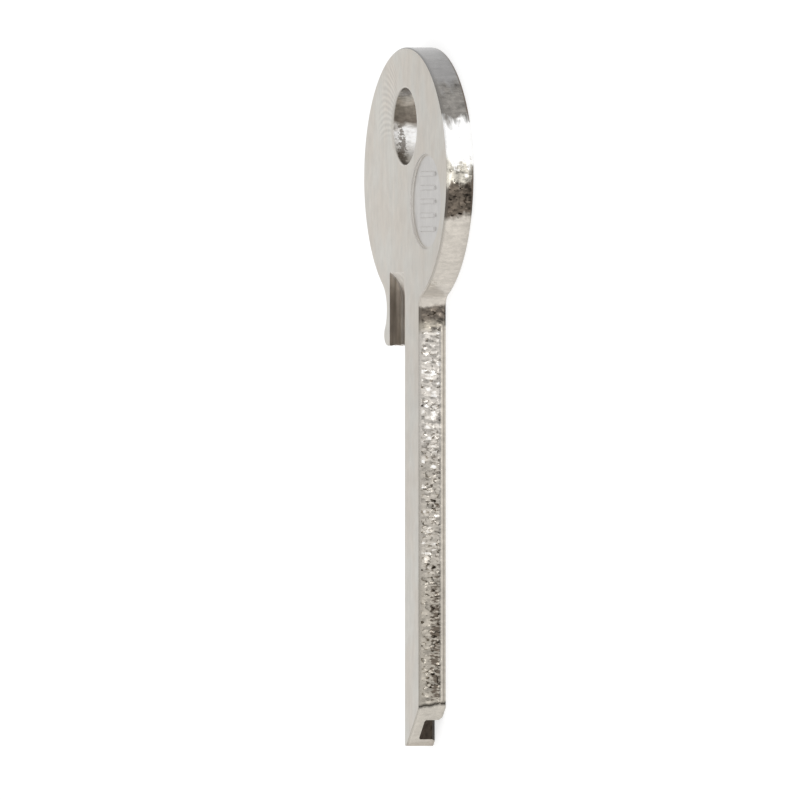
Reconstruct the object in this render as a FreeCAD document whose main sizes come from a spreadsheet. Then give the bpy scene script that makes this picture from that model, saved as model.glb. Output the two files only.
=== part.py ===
import FreeCAD, Part
import math
import os

import Sketcher

# A key blank that lies flat on its back face. All sizes are in millimetres.
# +X runs from the tip of the blade to the top of the bow, +Y towards the edge
# that carries the shoulder stop, and +Z out of the front face.
# The origin is on the back face, half way along the key, on the bow's axis.

# The driving dimensions: name, value, what it measures.
SIZES = [
    ("blank_thickness", 2.1, "back face to front face"),
    ("rim_round", 0.13, "rounding where a face meets the edge of the blank"),
    ("blade_length", 29.1, "tip to the face of the shoulder stop"),
    ("neck_length", 2.9, "face of the stop to the foot of the round bow"),
    ("bow_diameter", 18.8, "across the round bow"),
    ("blade_width", 6.3, "near edge to far edge of the blade"),
    ("tip_flat", 0.7, "flat left at the end of the tip"),
    ("tip_length", 2.8, "length of the slopes that form the tip"),
    ("near_hollow_radius", 0.9, "hollow corner from the near edge into the bow"),
    ("neck_radius", 2.2, "hollow from the stop up into the bow"),
    ("stop_reach", 4.83, "axis to the outer end of the shoulder stop"),
    ("stop_nose_radius", 0.8, "rounded outer end of the stop"),
    ("stop_root_radius", 0.2, "hollow corner where the stop leaves the blade"),
    ("hole_diameter", 5.6, "hole for the key ring"),
    ("hole_margin", 2.94, "metal between the hole and the top of the bow"),
    ("hole_offset", 0.2, "hole off the bow's axis, towards the stop"),
    ("hole_round", 0.15, "rounding of both rims of the hole"),
    ("ridge_width", 3.33, "near edge to the step down into the front channel"),
    ("channel_depth", 1.02, "front channel below the front face"),
    ("channel_overcut", 0.3, "front channel past the far edge, into the stop"),
    ("cutter_corner", 0.1, "small facet in each inside corner of a cut"),
    ("edge_break", 0.2, "broken edge along the mouth of the front channel"),
    ("foot_width", 0.9, "near edge to the groove in the back"),
    ("groove_width", 1.42, "width of the groove in the back"),
    ("groove_depth", 1.32, "groove below the back face"),
    ("mouth_break", 0.27, "broken edges along the mouth of the groove"),
    ("cut_past_stop", 3.4, "full depth of both cuts past the face of the stop"),
    ("cutter_radius", 2.4, "curve in which both cuts run out"),
    ("bar_round", 0.2, "rounding along the front of the thin far half"),
    ("panel_margin", 0.99, "metal between the round sunk panel and the bow's rim"),
    ("panel_wall", 1.06, "metal between the panel and the ring hole"),
    ("panel_bearing", 248.1, "way from the bow's centre to the panel's, in degrees"),
    ("panel_depth", 0.2, "panel below the front face"),
    ("panel_round", 0.07, "rounding of the panel's rim and round its floor"),
    ("rib_count", 5, "plain raised ribs across the panel"),
    ("rib_margin", 1.23, "rim of the panel to the ribs at each end of the row"),
    ("rib_end_margin", 1.75, "rim of the panel to the ends of the middle rib"),
    ("rib_width", 0.44, "width of one rib"),
    ("rib_height", 0.12, "rib above the floor of the panel"),
    ("rib_draft", 40.0, "lean of the sides of a rib off upright, in degrees"),
    ("cut_clearance", 0.4, "how far a cut starts outside the metal"),
]
SIZE = {name: value for name, value, meaning in SIZES}

# Formulas of the driving dimensions for the places that features share.
TOP_X = "(Dimensions.blade_length + Dimensions.neck_length + Dimensions.bow_diameter) / 2"
BOW_RADIUS = "Dimensions.bow_diameter / 2"
BOW_X = TOP_X + " - " + BOW_RADIUS
HALF_WIDTH = "Dimensions.blade_width / 2"
NEAR_Y = "-Dimensions.blade_width / 2"
STOP_X = "Dimensions.blade_length - " + TOP_X
FRONT_Z = "Dimensions.blank_thickness"

ROUNDING_ERROR = 1e-5

# The numbers that stand for places on a line or an arc, and for the origin.
START = 1
END = 2
CENTRE = 3
ORIGIN = (-1, 1)

doc = FreeCAD.newDocument("key_blank")
sheet = doc.addObject("Spreadsheet::Sheet", "Dimensions")
for row, (name, value, meaning) in enumerate(SIZES, start=1):
    sheet.set("A%d" % row, name)
    sheet.set("B%d" % row, str(value))
    sheet.set("C%d" % row, meaning)
    sheet.setAlias("B%d" % row, name)
doc.recompute()

body = doc.addObject("PartDesign::Body", "key_blank")
body.Label = "key_blank"


def worth(formula):
    """The number that a formula of the sheet gives."""
    return float(body.evalExpression(formula))


def vector(x, y, z=0.0):
    return FreeCAD.Vector(x, y, z)


def new_sketch(name, role, lift=None):
    """Start a sketch on one of the body's own planes, lifted along its normal."""
    plane = [feature for feature in body.Origin.OriginFeatures if feature.Role == role][0]
    sketch = body.newObject("Sketcher::SketchObject", name)
    sketch.AttachmentSupport = [(plane, "")]
    sketch.MapMode = "FlatFace"
    if lift:
        sketch.setExpression("AttachmentOffset.Base.z", lift)
    return sketch


def line(sketch, first, last):
    return sketch.addGeometry(Part.LineSegment(vector(*first), vector(*last)))


def circle(sketch, middle, radius):
    return sketch.addGeometry(Part.Circle(vector(*middle), vector(0, 0, 1), radius))


def arc(sketch, middle, radius, first, last):
    """Add the arc about middle that runs anticlockwise from first to last."""
    start = math.atan2(first[1] - middle[1], first[0] - middle[0])
    end = math.atan2(last[1] - middle[1], last[0] - middle[0])
    if end < start:
        end = end + 2 * math.pi
    whole = Part.Circle(vector(*middle), vector(0, 0, 1), radius)
    return sketch.addGeometry(Part.ArcOfCircle(whole, start, end))


def between(centre, other, distance):
    """The point at this distance from centre, on the way to other."""
    whole = math.dist(centre, other)
    return tuple(a + (b - a) * distance / whole for a, b in zip(centre, other))


def meeting_point(first, first_radius, second, second_radius):
    """Where two circles meet, on the side of greater y."""
    apart = math.dist(first, second)
    along = (first_radius ** 2 - second_radius ** 2 + apart ** 2) / (2 * apart)
    aside = math.sqrt(first_radius ** 2 - along ** 2)
    foot = between(first, second, along)
    across = ((second[1] - first[1]) / apart, (first[0] - second[0]) / apart)
    return (foot[0] + across[0] * aside, foot[1] + across[1] * aside)


def relate(sketch, kind, *places):
    """Add a relation that has no value, such as Horizontal or Tangent."""
    sketch.addConstraint(Sketcher.Constraint(kind, *places))


def dimension(sketch, name, kind, places, formula):
    """Add a dimension and bind it to a formula of the sheet."""
    index = sketch.addConstraint(Sketcher.Constraint(kind, *places, worth(formula)))
    sketch.renameConstraint(index, name)
    sketch.setExpression("Constraints." + name, formula)


def pin(sketch, name, element, place, x, y):
    """Dimension a point from the sketch's origin, along and across."""
    for kind, formula in (("DistanceX", x), ("DistanceY", y)):
        label = name + "_" + kind
        if worth(formula) < 0:
            dimension(sketch, label, kind, (element, place, *ORIGIN), "-(" + formula + ")")
        else:
            dimension(sketch, label, kind, (*ORIGIN, element, place), formula)


def draw_polygon(sketch, corners):
    """Draw a closed outline through corners that are pairs of formulas."""
    points = [(worth(x), worth(y)) for x, y in corners]
    sides = [line(sketch, points[i - 1], points[i]) for i in range(len(points))]
    for i, side in enumerate(sides):
        relate(sketch, "Coincident", sides[i - 1], END, side, START)
        pin(sketch, "corner_%d" % i, side, END, *corners[i])


def shape_feature(kind, name, sketch, settings, formulas):
    """Add a feature that is made from a sketch, and say what it adds or takes."""
    before = body.Shape.Volume if body.Tip else 0.0
    feature = body.newObject("PartDesign::" + kind, name)
    feature.Profile = sketch
    for key, value in settings.items():
        setattr(feature, key, value)
    for key, formula in formulas.items():
        feature.setExpression(key, formula)
    doc.recompute()
    change = feature.Shape.Volume - before
    print("%-18s %+9.3f mm3" % (name, change))
    wanted = change if kind == "Pad" else -change
    if wanted < ROUNDING_ERROR:
        raise RuntimeError(name + " doesn't change the metal as it should")
    return feature


def round_edges(name, is_wanted, radius):
    """Round the edges of the body, as it is now, that is_wanted picks."""
    base = body.Tip
    picked = ["Edge%d" % (i + 1) for i, edge in enumerate(base.Shape.Edges) if is_wanted(edge)]
    feature = body.newObject("PartDesign::Fillet", name)
    feature.Base = (base, picked)
    feature.setExpression("Radius", radius)
    doc.recompute()
    print("%-18s %3d edges" % (name, len(picked)))
    return feature


def is_level(edge, height):
    box = edge.BoundBox
    return max(abs(box.ZMin - height), abs(box.ZMax - height)) < ROUNDING_ERROR


def is_circle(edge, x, y, radius):
    if not isinstance(edge.Curve, Part.Circle):
        return False
    middle = edge.Curve.Center
    errors = [middle.x - x, middle.y - y, edge.Curve.Radius - radius]
    return max(abs(error) for error in errors) < ROUNDING_ERROR


# The flat outline is a round bow, a neck with a stop on one side only, and a
# parallel blade with a blunt point. It is drawn anticlockwise from the tip.
def draw_outline():
    sketch = new_sketch("OutlineSketch", "XY_Plane")
    tip_x = -worth(TOP_X)
    slope_x = tip_x + SIZE["tip_length"]
    half_flat = SIZE["tip_flat"] / 2
    half_width = worth(HALF_WIDTH)
    bow_x = worth(BOW_X)
    bow_radius = worth(BOW_RADIUS)
    stop_x = worth(STOP_X)
    root = SIZE["stop_root_radius"]

    # A hollow arc touches the round bow where the line between centres crosses it.
    near_radius = SIZE["near_hollow_radius"]
    near_y = -half_width - near_radius
    near_x = bow_x - math.sqrt((bow_radius + near_radius) ** 2 - near_y ** 2)
    near_touch = between((bow_x, 0), (near_x, near_y), bow_radius)

    # The neck's hollow touches both the bow and the round nose of the stop.
    nose_radius = SIZE["stop_nose_radius"]
    nose = (stop_x + nose_radius, SIZE["stop_reach"] - nose_radius)
    neck_radius = SIZE["neck_radius"]
    neck = meeting_point((bow_x, 0), bow_radius + neck_radius, nose, nose_radius + neck_radius)
    neck_touch = between((bow_x, 0), neck, bow_radius)
    nose_touch = between(nose, neck, nose_radius)

    near_slope = line(sketch, (tip_x, -half_flat), (slope_x, -half_width))
    near_edge = line(sketch, (slope_x, -half_width), (near_x, -half_width))
    near_hollow = arc(sketch, (near_x, near_y), near_radius, near_touch, (near_x, -half_width))
    bow = arc(sketch, (bow_x, 0), bow_radius, near_touch, neck_touch)
    neck_hollow = arc(sketch, neck, neck_radius, nose_touch, neck_touch)
    stop_nose = arc(sketch, nose, nose_radius, nose_touch, (stop_x, nose[1]))
    stop_face = line(sketch, (stop_x, nose[1]), (stop_x, half_width + root))
    stop_root = arc(sketch, (stop_x - root, half_width + root), root,
                    (stop_x - root, half_width), (stop_x, half_width + root))
    far_edge = line(sketch, (stop_x - root, half_width), (slope_x, half_width))
    far_slope = line(sketch, (slope_x, half_width), (tip_x, half_flat))
    flat = line(sketch, (tip_x, half_flat), (tip_x, -half_flat))

    relate(sketch, "Coincident", near_slope, END, near_edge, START)
    relate(sketch, "Tangent", near_edge, END, near_hollow, END)
    relate(sketch, "Tangent", near_hollow, START, bow, START)
    relate(sketch, "Tangent", bow, END, neck_hollow, END)
    relate(sketch, "Tangent", neck_hollow, START, stop_nose, START)
    relate(sketch, "Tangent", stop_nose, END, stop_face, START)
    relate(sketch, "Tangent", stop_face, END, stop_root, END)
    relate(sketch, "Tangent", stop_root, START, far_edge, START)
    relate(sketch, "Coincident", far_edge, END, far_slope, START)
    relate(sketch, "Coincident", far_slope, END, flat, START)
    relate(sketch, "Coincident", flat, END, near_slope, START)
    relate(sketch, "Horizontal", near_edge)
    relate(sketch, "Horizontal", far_edge)
    relate(sketch, "Vertical", stop_face)
    relate(sketch, "PointOnObject", bow, CENTRE, -1)

    pin(sketch, "tip_far", flat, START, "-" + TOP_X, "Dimensions.tip_flat / 2")
    pin(sketch, "tip_near", flat, END, "-" + TOP_X, "-Dimensions.tip_flat / 2")
    slope_place = "Dimensions.tip_length - " + TOP_X
    pin(sketch, "shoulder_far", far_edge, END, slope_place, HALF_WIDTH)
    pin(sketch, "shoulder_near", near_edge, START, slope_place, NEAR_Y)
    dimension(sketch, "bow_place", "DistanceX", (*ORIGIN, bow, CENTRE), BOW_X)
    dimension(sketch, "bow_size", "Radius", (bow,), BOW_RADIUS)
    dimension(sketch, "near_hollow_size", "Radius", (near_hollow,), "Dimensions.near_hollow_radius")
    dimension(sketch, "neck_size", "Radius", (neck_hollow,), "Dimensions.neck_radius")
    dimension(sketch, "nose_size", "Radius", (stop_nose,), "Dimensions.stop_nose_radius")
    dimension(sketch, "nose_place", "DistanceY", (*ORIGIN, stop_nose, CENTRE),
              "Dimensions.stop_reach - Dimensions.stop_nose_radius")
    dimension(sketch, "blade_run", "DistanceX", (flat, START, stop_face, END),
              "Dimensions.blade_length")
    dimension(sketch, "stop_root_size", "Radius", (stop_root,), "Dimensions.stop_root_radius")
    return sketch


shape_feature("Pad", "Blank", draw_outline(), {}, {"Length": FRONT_Z})

# The blanked sheet is softly rounded all round, in front and behind.
round_edges("RimRounding",
            lambda edge: is_level(edge, 0) or is_level(edge, SIZE["blank_thickness"]),
            "Dimensions.rim_round")

# The ring hole goes right through near the top of the bow.
HOLE_RADIUS = "Dimensions.hole_diameter / 2"
HOLE_REACH = BOW_RADIUS + " - Dimensions.hole_margin - " + HOLE_RADIUS
HOLE_X = BOW_X + " + " + HOLE_REACH
HOLE_Y = "Dimensions.hole_offset"


def draw_round(name, lift, x, y, radius):
    """Draw one dimensioned circle on a level plane."""
    sketch = new_sketch(name, "XY_Plane", lift)
    ring = circle(sketch, (worth(x), worth(y)), worth(radius))
    dimension(sketch, "ring_size", "Radius", (ring,), radius)
    pin(sketch, "ring_centre", ring, CENTRE, x, y)
    return sketch


hole_sketch = draw_round("HoleSketch", None, HOLE_X, HOLE_Y, HOLE_RADIUS)
shape_feature("Pocket", "RingHole", hole_sketch, {"Type": "ThroughAll", "Reversed": True}, {})
round_edges("HoleRounding",
            lambda edge: is_circle(edge, worth(HOLE_X), worth(HOLE_Y), worth(HOLE_RADIUS)),
            "Dimensions.hole_round")

# The blade's section is milled with two shaped cutters. Each one cuts straight
# along the blade, past the stop, and then lifts out of the neck in a curve.
CUT_END_X = STOP_X + " + Dimensions.cut_past_stop"
CUT_LENGTH = "Dimensions.blade_length + Dimensions.cut_past_stop + Dimensions.cut_clearance"
STEP_Y = "Dimensions.ridge_width - Dimensions.blade_width / 2"
CHANNEL_END_Y = HALF_WIDTH + " + Dimensions.channel_overcut"
CHANNEL_FLOOR_Z = "Dimensions.blank_thickness - Dimensions.channel_depth"
GROOVE_NEAR_Y = "Dimensions.foot_width - Dimensions.blade_width / 2"
GROOVE_FAR_Y = GROOVE_NEAR_Y + " + Dimensions.groove_width"
GROOVE_FLOOR_Z = "Dimensions.groove_depth"
CORNER = "Dimensions.cutter_corner"
BREAK = "Dimensions.edge_break"
MOUTH = "Dimensions.mouth_break"
CLEARANCE = "Dimensions.cut_clearance"
QUARTER_TURN = 90


def mill(name, corners, axis_z, turns_back):
    """Cut a section along the blade, and let it run out about a level axis."""
    sketch = new_sketch(name + "Sketch", "YZ_Plane", CUT_END_X)
    draw_polygon(sketch, corners)
    across = (worth(NEAR_Y), worth(HALF_WIDTH))
    axis = line(sketch, (across[0], worth(axis_z)), (across[1], worth(axis_z)))
    sketch.toggleConstruction(axis)
    pin(sketch, "axis_near", axis, START, NEAR_Y, axis_z)
    pin(sketch, "axis_far", axis, END, HALF_WIDTH, axis_z)
    shape_feature("Pocket", name, sketch, {"Type": "Length"}, {"Length": CUT_LENGTH})
    settings = {"ReferenceAxis": (sketch, ["Axis0"]), "Angle": QUARTER_TURN, "Reversed": turns_back}
    shape_feature("Groove", name + "RunOut", sketch, settings, {})


# In front, a wide channel takes the far half down and leaves a ridge beside it.
mill("FrontChannel", [
    (STEP_Y + " - " + BREAK, FRONT_Z + " + " + CLEARANCE),
    (STEP_Y + " - " + BREAK, FRONT_Z),
    (STEP_Y, FRONT_Z + " - " + BREAK),
    (STEP_Y, CHANNEL_FLOOR_Z + " + " + CORNER),
    (STEP_Y + " + " + CORNER, CHANNEL_FLOOR_Z),
    (CHANNEL_END_Y + " - " + CORNER, CHANNEL_FLOOR_Z),
    (CHANNEL_END_Y, CHANNEL_FLOOR_Z + " + " + CORNER),
    (CHANNEL_END_Y, FRONT_Z + " + " + CLEARANCE),
], CHANNEL_FLOOR_Z + " + Dimensions.cutter_radius", True)

# Behind, a narrow groove leaves a foot along the near edge.
mill("BackGroove", [
    (GROOVE_NEAR_Y + " - " + MOUTH, "-" + CLEARANCE),
    (GROOVE_NEAR_Y + " - " + MOUTH, "0"),
    (GROOVE_NEAR_Y, MOUTH),
    (GROOVE_NEAR_Y, GROOVE_FLOOR_Z + " - " + CORNER),
    (GROOVE_NEAR_Y + " + " + CORNER, GROOVE_FLOOR_Z),
    (GROOVE_FAR_Y + " - " + CORNER, GROOVE_FLOOR_Z),
    (GROOVE_FAR_Y, GROOVE_FLOOR_Z + " - " + CORNER),
    (GROOVE_FAR_Y, MOUTH),
    (GROOVE_FAR_Y + " + " + MOUTH, "0"),
    (GROOVE_FAR_Y + " + " + MOUTH, "-" + CLEARANCE),
], GROOVE_FLOOR_Z + " - Dimensions.cutter_radius", False)


# The thin far half has its front edge rounded along the blade.
def is_front_of_bar(edge):
    middle = edge.CenterOfMass
    height = SIZE["blank_thickness"] - SIZE["channel_depth"]
    on_floor = is_level(edge, height)
    on_far_edge = abs(middle.y - worth(HALF_WIDTH)) < ROUNDING_ERROR
    return on_floor and on_far_edge


round_edges("BarRounding", is_front_of_bar, "Dimensions.bar_round")

# A round panel is sunk in the front of the bow. It is as large as the bow's rim
# and the ring hole leave room for on its bearing, less the metal round it.
# PANEL_REACH is how far its centre then lies from the bow's centre.
COSINE = "cos(Dimensions.panel_bearing)"
SINE = "sin(Dimensions.panel_bearing)"
PANEL_ROOM = BOW_RADIUS + " - Dimensions.panel_margin"
ROOM_SUM = "(" + PANEL_ROOM + " + Dimensions.panel_wall + " + HOLE_RADIUS + ")"
HOLE_ALONG = "((" + HOLE_REACH + ") * " + COSINE + " + " + HOLE_Y + " * " + SINE + ")"
HOLE_SQUARE = "(" + HOLE_REACH + ") ^ 2 - " + HOLE_Y + " ^ 2"
PANEL_REACH = "(" + ROOM_SUM + " ^ 2 - " + HOLE_SQUARE + ") / (2 * (" + ROOM_SUM + " - " + HOLE_ALONG + "))"
PANEL_X = BOW_X + " + " + PANEL_REACH + " * " + COSINE
PANEL_Y = PANEL_REACH + " * " + SINE
PANEL_RADIUS = PANEL_ROOM + " - " + PANEL_REACH
PANEL_FLOOR_Z = "Dimensions.blank_thickness - Dimensions.panel_depth"
panel_sketch = draw_round("PanelSketch", FRONT_Z, PANEL_X, PANEL_Y, PANEL_RADIUS)
shape_feature("Pocket", "Panel", panel_sketch, {"Type": "Length"}, {"Length": "Dimensions.panel_depth"})
round_edges("PanelRounding",
            lambda edge: is_circle(edge, worth(PANEL_X), worth(PANEL_Y), worth(PANEL_RADIUS)),
            "Dimensions.panel_round")


# Plain ribs stand on the panel's floor, in a row along the key.
END_RIB = "(" + PANEL_RADIUS + " - Dimensions.rib_margin - Dimensions.rib_width / 2)"


def draw_rib():
    """Draw a bar with round ends, the one nearest the tip."""
    sketch = new_sketch("RibSketch", "XY_Plane", PANEL_FLOOR_Z)
    rib_x = PANEL_X + " - " + END_RIB
    half_run = "(" + PANEL_RADIUS + " - Dimensions.rib_end_margin - Dimensions.rib_width / 2)"
    x = worth(rib_x)
    radius = SIZE["rib_width"] / 2
    low = worth(PANEL_Y) - worth(half_run)
    high = worth(PANEL_Y) + worth(half_run)
    right = line(sketch, (x + radius, low), (x + radius, high))
    far_end = arc(sketch, (x, high), radius, (x + radius, high), (x - radius, high))
    left = line(sketch, (x - radius, high), (x - radius, low))
    near_end = arc(sketch, (x, low), radius, (x - radius, low), (x + radius, low))
    relate(sketch, "Tangent", right, END, far_end, START)
    relate(sketch, "Tangent", far_end, END, left, START)
    relate(sketch, "Tangent", left, END, near_end, START)
    relate(sketch, "Tangent", near_end, END, right, START)
    relate(sketch, "Vertical", right)
    dimension(sketch, "end_size", "Radius", (far_end,), "Dimensions.rib_width / 2")
    pin(sketch, "far_centre", far_end, CENTRE, rib_x, PANEL_Y + " + " + half_run)
    dimension(sketch, "run", "DistanceY", (near_end, CENTRE, far_end, CENTRE), "2 * " + half_run)
    return sketch


rib_sketch = draw_rib()
first_rib = shape_feature("Pad", "Rib", rib_sketch, {},
                          {"Length": "Dimensions.rib_height", "TaperAngle": "-Dimensions.rib_draft"})
ribs = body.newObject("PartDesign::LinearPattern", "Ribs")
ribs.Originals = [first_rib]
ribs.Direction = (rib_sketch, ["H_Axis"])
ribs.setExpression("Length", "2 * " + END_RIB)
ribs.setExpression("Occurrences", "Dimensions.rib_count")
body.Tip = ribs
doc.recompute()

# Nothing is written unless every feature worked and the key is one sound solid.
for feature in doc.Objects:
    if "Invalid" in feature.State or "Error" in feature.State:
        raise RuntimeError("%s failed: %s" % (feature.Name, feature.State))
if body.Shape.isNull() or not body.Shape.isValid() or len(body.Shape.Solids) != 1:
    raise RuntimeError("the key isn't one sound solid")

box = body.Shape.BoundBox
print("box    %.3f x %.3f x %.3f mm" % (box.XLength, box.YLength, box.ZLength))
print("centre %.3f, %.3f mm, base at %.3f mm" % (box.Center.x, box.Center.y, box.ZMin))
print("volume %.2f mm3" % body.Shape.Volume)

os.makedirs("parts", exist_ok=True)
body.Shape.exportStep(os.path.join("parts", body.Label + ".step"))
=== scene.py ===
import math
from collections import namedtuple

import bmesh
import bpy
import numpy as np
from mathutils import Matrix, Vector


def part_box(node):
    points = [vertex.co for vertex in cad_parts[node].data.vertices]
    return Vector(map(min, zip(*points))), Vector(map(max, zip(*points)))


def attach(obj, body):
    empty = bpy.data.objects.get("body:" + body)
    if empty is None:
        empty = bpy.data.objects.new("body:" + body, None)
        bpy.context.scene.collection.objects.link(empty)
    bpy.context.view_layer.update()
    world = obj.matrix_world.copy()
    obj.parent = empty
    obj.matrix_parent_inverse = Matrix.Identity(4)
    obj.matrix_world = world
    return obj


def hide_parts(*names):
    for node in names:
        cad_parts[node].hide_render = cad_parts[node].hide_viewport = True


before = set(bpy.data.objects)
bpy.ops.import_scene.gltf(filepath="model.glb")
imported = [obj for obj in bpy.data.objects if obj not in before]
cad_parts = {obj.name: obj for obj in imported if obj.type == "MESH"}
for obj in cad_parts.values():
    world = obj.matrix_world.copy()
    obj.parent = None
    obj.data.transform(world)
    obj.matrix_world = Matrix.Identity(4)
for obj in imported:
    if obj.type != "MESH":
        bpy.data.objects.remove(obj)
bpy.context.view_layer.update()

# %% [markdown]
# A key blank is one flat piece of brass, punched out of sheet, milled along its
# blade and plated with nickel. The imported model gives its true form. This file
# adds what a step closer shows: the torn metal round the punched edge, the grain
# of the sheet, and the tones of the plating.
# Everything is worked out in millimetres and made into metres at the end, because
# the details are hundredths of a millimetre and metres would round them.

MM = 0.001
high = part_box("key_blank")[1]
TOP_X = round(high[0] / MM, 2)
THICKNESS = round(high[2] / MM, 2)
print("key %.2f mm long and %.2f mm thick" % (2 * TOP_X, THICKNESS))

# %% [markdown]
# The camera looks along the flat key at a low angle, so the face is foreshortened
# to a third and the punched edge shows almost full on. A long lens from far away
# keeps the near and the far edge at one scale. The key's length is the picture's
# upright direction, so +X is the camera's up.

# %% Camera
LOOK_DOWN = math.radians(18.7)
PIXELS_PER_MM = 13.754
PICTURE_PIXELS = 800
LENS = 1000.0
SENSOR = 36.0
AIM = Vector((-0.244, 0.114, 2.437)) * MM

look = Vector((0, math.cos(LOOK_DOWN), -math.sin(LOOK_DOWN)))
up = Vector((1, 0, 0))
distance = PICTURE_PIXELS / PIXELS_PER_MM * MM * LENS / SENSOR
camera_data = bpy.data.cameras.new("camera")
camera_data.lens = LENS
camera_data.sensor_width = SENSOR
camera_data.clip_start = 0.01
camera_data.clip_end = 10.0
camera = bpy.data.objects.new("camera", camera_data)
bpy.context.collection.objects.link(camera)
turn = Matrix((look.cross(up), up, -look)).transposed()
camera.matrix_world = Matrix.Translation(AIM - look * distance) @ turn.to_4x4()
bpy.context.scene.camera = camera
bpy.context.scene.view_settings.view_transform = "Standard"
print("camera %.0f mm away, looking down %.1f degrees" % (distance / MM, math.degrees(LOOK_DOWN)))

# %% [markdown]
# A node tree is easier to read when each node takes one line. This helper adds a
# node, sets its options, and gives each input either a value or another node's
# output. It serves the shaders and the Geometry Nodes alike.


# %% Helper for node trees
def add(tree, kind, settings=None, inputs=None):
    """Add a node. inputs maps an input's name or number to a value or an output."""
    node = tree.nodes.new(kind)
    for key, value in (settings or {}).items():
        setattr(node, key, value)
    for key, value in (inputs or {}).items():
        if isinstance(value, bpy.types.NodeSocket):
            tree.links.new(value, node.inputs[key])
        else:
            node.inputs[key].default_value = value
    return node


def math_node(tree, operation, *values, clamp=False):
    """Add a Math node and return its output."""
    settings = {"operation": operation, "use_clamp": clamp}
    return add(tree, "ShaderNodeMath", settings, dict(enumerate(values))).outputs[0]


def vector_node(tree, operation, *values):
    """Add a Vector Math node that gives a vector."""
    settings = {"operation": operation}
    return add(tree, "ShaderNodeVectorMath", settings, dict(enumerate(values))).outputs["Vector"]


def product(tree, first, *others):
    """Multiply values one after another."""
    result = first
    for value in others:
        result = math_node(tree, "MULTIPLY", result, value)
    return result


def split(tree, vector):
    """Take a vector apart. Its outputs are called X, Y and Z."""
    return add(tree, "ShaderNodeSeparateXYZ", None, {0: vector}).outputs


def smooth_step(tree, value, start, end):
    """0 before start, 1 after end, and a soft rise between them."""
    if end < start:
        return math_node(tree, "SUBTRACT", 1.0, smooth_step(tree, value, end, start))
    settings = {"interpolation_type": "SMOOTHSTEP"}
    inputs = {"Value": value, "From Min": start, "From Max": end}
    return add(tree, "ShaderNodeMapRange", settings, inputs).outputs[0]


# %% [markdown]
# The punch leaves an edge in three bands: a small rolled-over rim at each face,
# and torn metal between them. To tear the edge, I need the outline as a path.
# It is the same outline as the solid's: a round bow, a neck with a stop on one
# side, and a parallel blade with a blunt tip, all lines and arcs.

# %% Sizes of the outline, in millimetres
BOW_RADIUS = 9.4
BLADE_WIDTH = 6.3
BLADE_LENGTH = 29.1
TIP_FLAT = 0.7
TIP_LENGTH = 2.8
NEAR_HOLLOW = 0.9
NECK_HOLLOW = 2.2
STOP_REACH = 4.83
STOP_NOSE = 0.8
STOP_ROOT = 0.2
HOLE_CENTRE = Vector((19.66, 0.2))
HOLE_RADIUS = 2.8
PANEL_CENTRE = Vector((14.15, -4.6))
PANEL_RADIUS = 3.45

TIP_X = -TOP_X
STOP_X = TIP_X + BLADE_LENGTH
BOW_X = TOP_X - BOW_RADIUS
HALF_WIDTH = BLADE_WIDTH / 2


# %% The outline as a path of evenly spaced points
def arc(centre, radius, start, end, count=60):
    """Points along an arc from one angle to another."""
    angles = np.linspace(start, end, count)
    return [(centre[0] + radius * math.cos(a), centre[1] + radius * math.sin(a)) for a in angles]


def bearing(start, end):
    return math.atan2(end[1] - start[1], end[0] - start[0])


def outline_corners():
    """The outline, anticlockwise from the tip, with its arcs as fine steps."""
    bow = (BOW_X, 0.0)
    near_y = -HALF_WIDTH - NEAR_HOLLOW
    near_x = BOW_X - math.sqrt((BOW_RADIUS + NEAR_HOLLOW) ** 2 - near_y ** 2)
    near = (near_x, near_y)
    nose = (STOP_X + STOP_NOSE, STOP_REACH - STOP_NOSE)
    apart = math.dist(bow, nose)
    from_bow = BOW_RADIUS + NECK_HOLLOW
    from_nose = STOP_NOSE + NECK_HOLLOW
    along = (from_bow ** 2 - from_nose ** 2 + apart ** 2) / (2 * apart)
    swing = math.acos(along / from_bow)
    toward_neck = bearing(bow, nose) - swing
    neck = (bow[0] + from_bow * math.cos(toward_neck), bow[1] + from_bow * math.sin(toward_neck))
    quarter = math.pi / 2

    path = [(TIP_X, -TIP_FLAT / 2), (TIP_X + TIP_LENGTH, -HALF_WIDTH)]
    path += arc(near, NEAR_HOLLOW, quarter, bearing(near, bow))
    path += arc(bow, BOW_RADIUS, bearing(bow, near), toward_neck, 400)
    path += arc(neck, NECK_HOLLOW, bearing(neck, bow), bearing(neck, nose))
    path += arc(nose, STOP_NOSE, bearing(nose, neck), 2 * quarter)
    path += arc((STOP_X - STOP_ROOT, HALF_WIDTH + STOP_ROOT), STOP_ROOT, 0, -quarter)
    path += [(TIP_X + TIP_LENGTH, HALF_WIDTH), (TIP_X, TIP_FLAT / 2)]
    return np.array(path)


def evenly_spaced(path, step):
    """Points a step apart round a closed path, and the way inwards at each one."""
    closed = np.vstack([path, path[:1]])
    runs = np.linalg.norm(np.diff(closed, axis=0), axis=1)
    travel = np.concatenate([[0.0], np.cumsum(runs)])
    count = int(round(travel[-1] / step))
    places = np.arange(count) * travel[-1] / count
    points = np.column_stack([np.interp(places, travel, closed[:, k]) for k in (0, 1)])
    ahead = np.roll(points, -1, axis=0) - np.roll(points, 1, axis=0)
    ahead /= np.linalg.norm(ahead, axis=1)[:, None]
    inwards = np.column_stack([-ahead[:, 1], ahead[:, 0]])
    return points, inwards


COLUMN_STEP = 0.055
points, inwards = evenly_spaced(outline_corners(), COLUMN_STEP)
print("outline: %d points, %.1f mm round" % (len(points), len(points) * COLUMN_STEP))
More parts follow.
